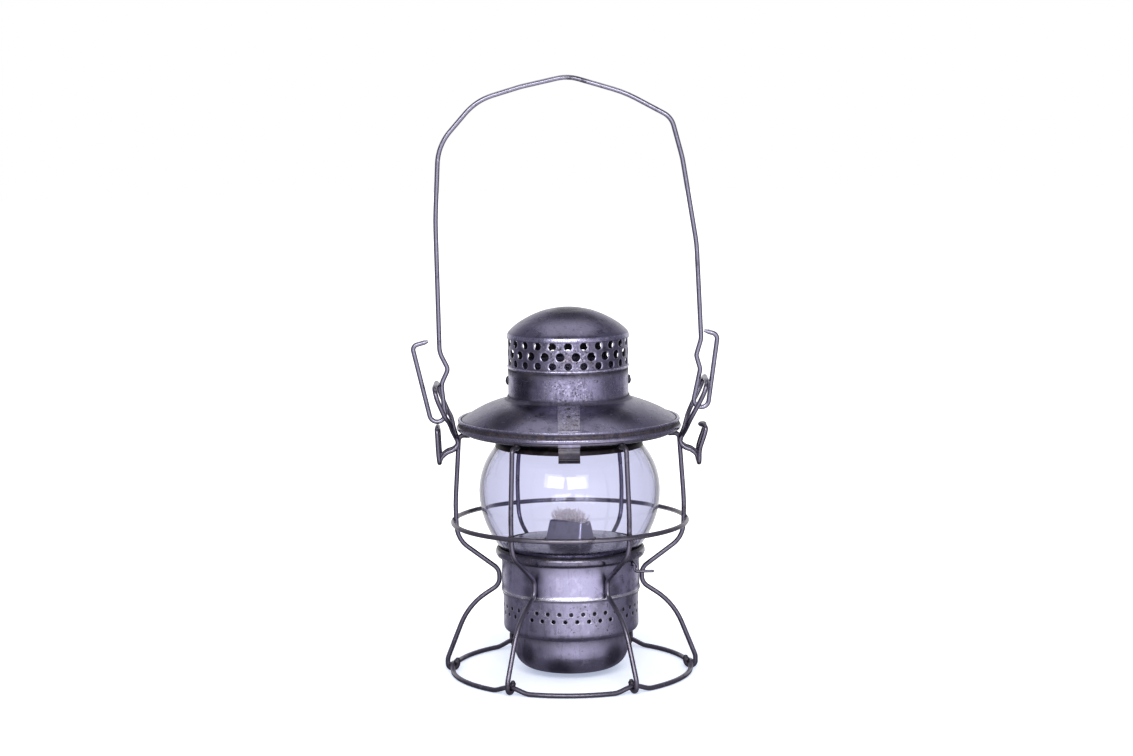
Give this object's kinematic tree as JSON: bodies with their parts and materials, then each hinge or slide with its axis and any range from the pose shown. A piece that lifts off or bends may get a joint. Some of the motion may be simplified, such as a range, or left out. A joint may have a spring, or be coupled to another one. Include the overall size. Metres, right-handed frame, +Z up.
{
  "type": "railroad lantern",
  "caption": "Hand lantern with a wire guard frame, clear glass globe, hinged vented lid, drop-out oil fount, wick burner and a swinging wire bail.",
  "frame": {"origin": "on the ground under the lantern's axis", "axes": "+Z up, -Y to the front where the lid latch hangs, +X to the right"},
  "size_m": [0.2026, 0.1616, 0.3932],
  "materials": {
    "wire": "tinned steel wire, worn and darkened",
    "tin": "aged tinned sheet steel, mottled",
    "dark_tin": "sooted tinned sheet steel",
    "burner_metal": "dull tarnished brass",
    "globe_glass": "clear blown-mould glass",
    "cotton": "woven cotton wick"
  },
  "bodies": {
    "frame": {"base_ring": "wire", "guard_ring": "wire", "top_ring": "wire", "guard_wire_left": "wire", "guard_wire_front_left": "wire", "guard_wire_front_right": "wire", "guard_wire_right": "wire", "guard_wire_rear_right": "wire", "guard_wire_rear_left": "wire", "ear_left": "wire", "ear_right": "wire", "upper_shell": "tin", "lower_shell": "tin", "bayonet_ring": "tin", "globe_gallery": "tin", "burner_deck": "dark_tin", "globe": "globe_glass", "hinge_base": "tin", "hinge_pin": "wire", "catch_eye": "tin"},
    "lid": {"dome_cap": "tin", "vent_band": "tin", "chimney_collar": "tin", "lid_brim": "tin", "hinge_leaf": "tin", "latch_strap": "tin", "strap_rivets": "tin", "retainer_spring": "wire"},
    "latch": {"latch_spring": "tin"},
    "retainer": {"globe_retainer": "dark_tin"},
    "fount": {"fount_cup": "tin", "fount_top": "tin", "fount_lugs": "tin", "burner_body": "burner_metal", "wick_tube": "burner_metal", "flame_hood": "burner_metal"},
    "wick": {"wick": "cotton"},
    "spindle": {"wick_shaft": "burner_metal", "feed_wheels": "burner_metal", "wick_knob": "burner_metal"},
    "catch": {"fount_catch": "wire"},
    "bail": {"bail": "wire"}
  },
  "joints": [
    {"name": "bail_swing", "type": "hinge", "parent": "frame", "child": "bail", "pos_m": [0.001, 0, 0.18625], "axis": [0.9992, 0, 0.0389], "range_deg": [-90, 90]},
    {"name": "lid_hinge", "type": "hinge", "parent": "frame", "child": "lid", "pos_m": [0, 0.0764, 0.1582], "axis": [-1, 0, 0], "range_deg": [0, 105]},
    {"name": "latch_flex", "type": "hinge", "parent": "lid", "child": "latch", "pos_m": [0, -0.06945, 0.15965], "axis": [-1, 0, 0], "range_deg": [0, 14], "stiffness_Nm_per_rad": 0.05},
    {"name": "retainer_lift", "type": "slide", "parent": "lid", "child": "retainer", "axis": [0, 0, 1], "range_m": [0, 0.0025], "stiffness_N_per_m": 300, "springref_m": -0.004, "deforming": ["retainer_spring"]},
    {"name": "fount_turn", "type": "hinge", "parent": "frame", "child": "fount", "pos_m": [0, 0, 0.03], "axis": [0, 0, 1], "range_deg": [0, 32]},
    {"name": "catch_swing", "type": "hinge", "parent": "frame", "child": "catch", "pos_m": [0.04176, -0.02221, 0.0731], "axis": [0, 0, 1], "range_deg": [-14, 14], "stiffness_Nm_per_rad": 0.02},
    {"name": "knob_turn", "type": "hinge", "parent": "fount", "child": "spindle", "pos_m": [0.00261, 0.00373, 0.0783], "axis": [0.8192, -0.5736, 0], "range_deg": [-100, 120]},
    {"name": "wick_slide", "type": "slide", "parent": "fount", "child": "wick", "axis": [0, 0, 1], "range_m": [-0.0073, 0.0061]}
  ],
  "couplings": [
    {"joint": "knob_turn", "follows": "wick_slide", "rad_per_m": -285.71}
  ]
}
